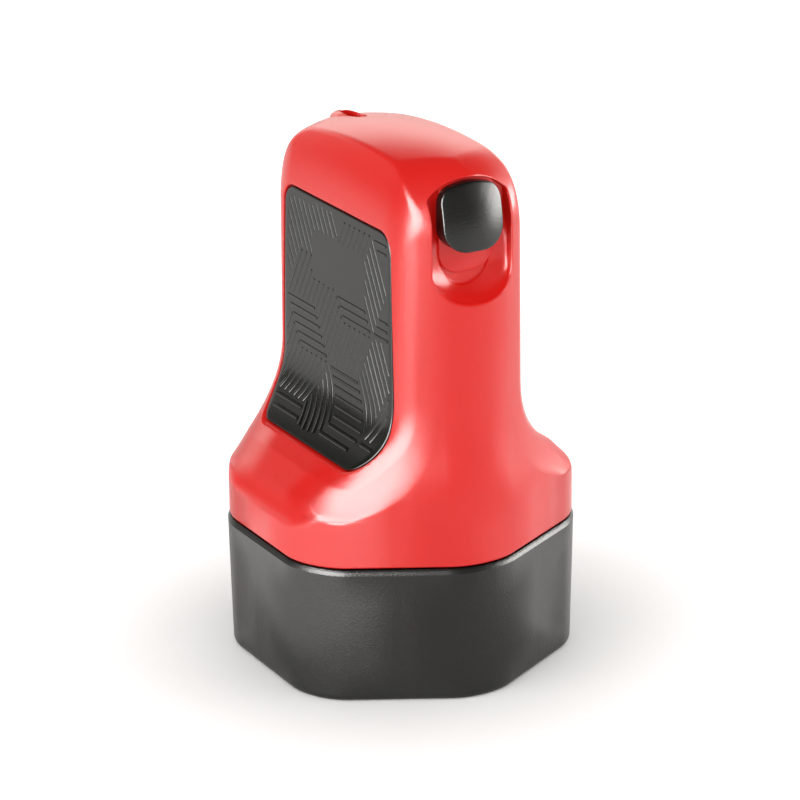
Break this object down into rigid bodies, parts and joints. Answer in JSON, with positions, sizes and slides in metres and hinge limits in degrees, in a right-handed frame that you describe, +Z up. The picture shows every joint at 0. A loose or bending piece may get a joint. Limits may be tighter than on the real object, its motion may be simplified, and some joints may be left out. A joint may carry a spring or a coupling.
{
  "type": "privacy roller stamp",
  "caption": "Upright hand roller stamp that inks over private text, with a pull-off cap and a slide-out safety blade worked by a thumb button.",
  "frame": {"origin": "centre of the cap's underside, which the stamp stands on", "axes": "+Z up through the handle, +X towards the thumb button, grip pads facing -Y and +Y"},
  "size_m": [0.0578, 0.0546, 0.0917],
  "materials": {
    "red_plastic": "fine satin grain",
    "black_plastic": "fine satin grain",
    "pad_rubber": "satin, grooved",
    "grey_plastic": "satin",
    "pale_plastic": "satin",
    "print_rubber": "matt",
    "foam": "ink-soaked",
    "steel": "bright",
    "ceramic": "satin ceramic"
  },
  "bodies": {
    "cap": {"cap": "black_plastic"},
    "housing": {"housing_shell": "red_plastic", "front_grip_pad": "pad_rubber", "rear_grip_pad": "pad_rubber", "chassis": "black_plastic", "cartridge_frame": "grey_plastic", "mechanism_frame": "grey_plastic", "frame_screw_1": "steel", "frame_screw_2": "steel", "frame_screw_3": "steel", "frame_screw_4": "steel", "rocker_pin": "steel", "return_spring": "steel", "print_axle": "steel", "ink_axle": "steel"},
    "button": {"thumb_button": "black_plastic", "button_slider": "grey_plastic"},
    "rocker": {"rocker_lever": "pale_plastic"},
    "blade": {"blade_carrier": "pale_plastic", "ceramic_blade": "ceramic", "blade_clamp": "pale_plastic"},
    "print_roller": {"print_core": "pale_plastic", "print_sleeve": "print_rubber", "print_bush_left": "pale_plastic", "print_bush_right": "pale_plastic"},
    "ink_roller": {"ink_core": "pale_plastic", "ink_foam": "foam"}
  },
  "joints": [
    {"name": "cap_release", "type": "slide", "parent": "cap", "child": "housing", "axis": [0, 0, 1], "range_m": [0, 0.045]},
    {"name": "thumb_slide", "type": "slide", "parent": "housing", "child": "button", "axis": [0, 0, -1], "range_m": [0, 0.0045], "stiffness_N_per_m": 500, "springref_m": -0.002, "deforming": ["return_spring"]},
    {"name": "rocker_tilt", "type": "hinge", "parent": "housing", "child": "rocker", "pos_m": [-0.0015, 0, 0.0675], "axis": [0, 1, 0], "range_deg": [0, 16.2]},
    {"name": "blade_slide", "type": "slide", "parent": "housing", "child": "blade", "axis": [0, 0, 1], "range_m": [0, 0.0045]},
    {"name": "print_roller_spin", "type": "hinge", "parent": "housing", "child": "print_roller", "pos_m": [0, 0, 0.016], "axis": [1, 0, 0], "continuous": true},
    {"name": "ink_roller_spin", "type": "hinge", "parent": "housing", "child": "ink_roller", "pos_m": [0, 0, 0.0358], "axis": [1, 0, 0], "continuous": true}
  ],
  "couplings": [
    {"joint": "rocker_tilt", "follows": "thumb_slide", "rad_per_m": 62.7},
    {"joint": "blade_slide", "follows": "thumb_slide", "ratio": 1},
    {"joint": "ink_roller_spin", "follows": "print_roller_spin", "ratio": -2}
  ]
}
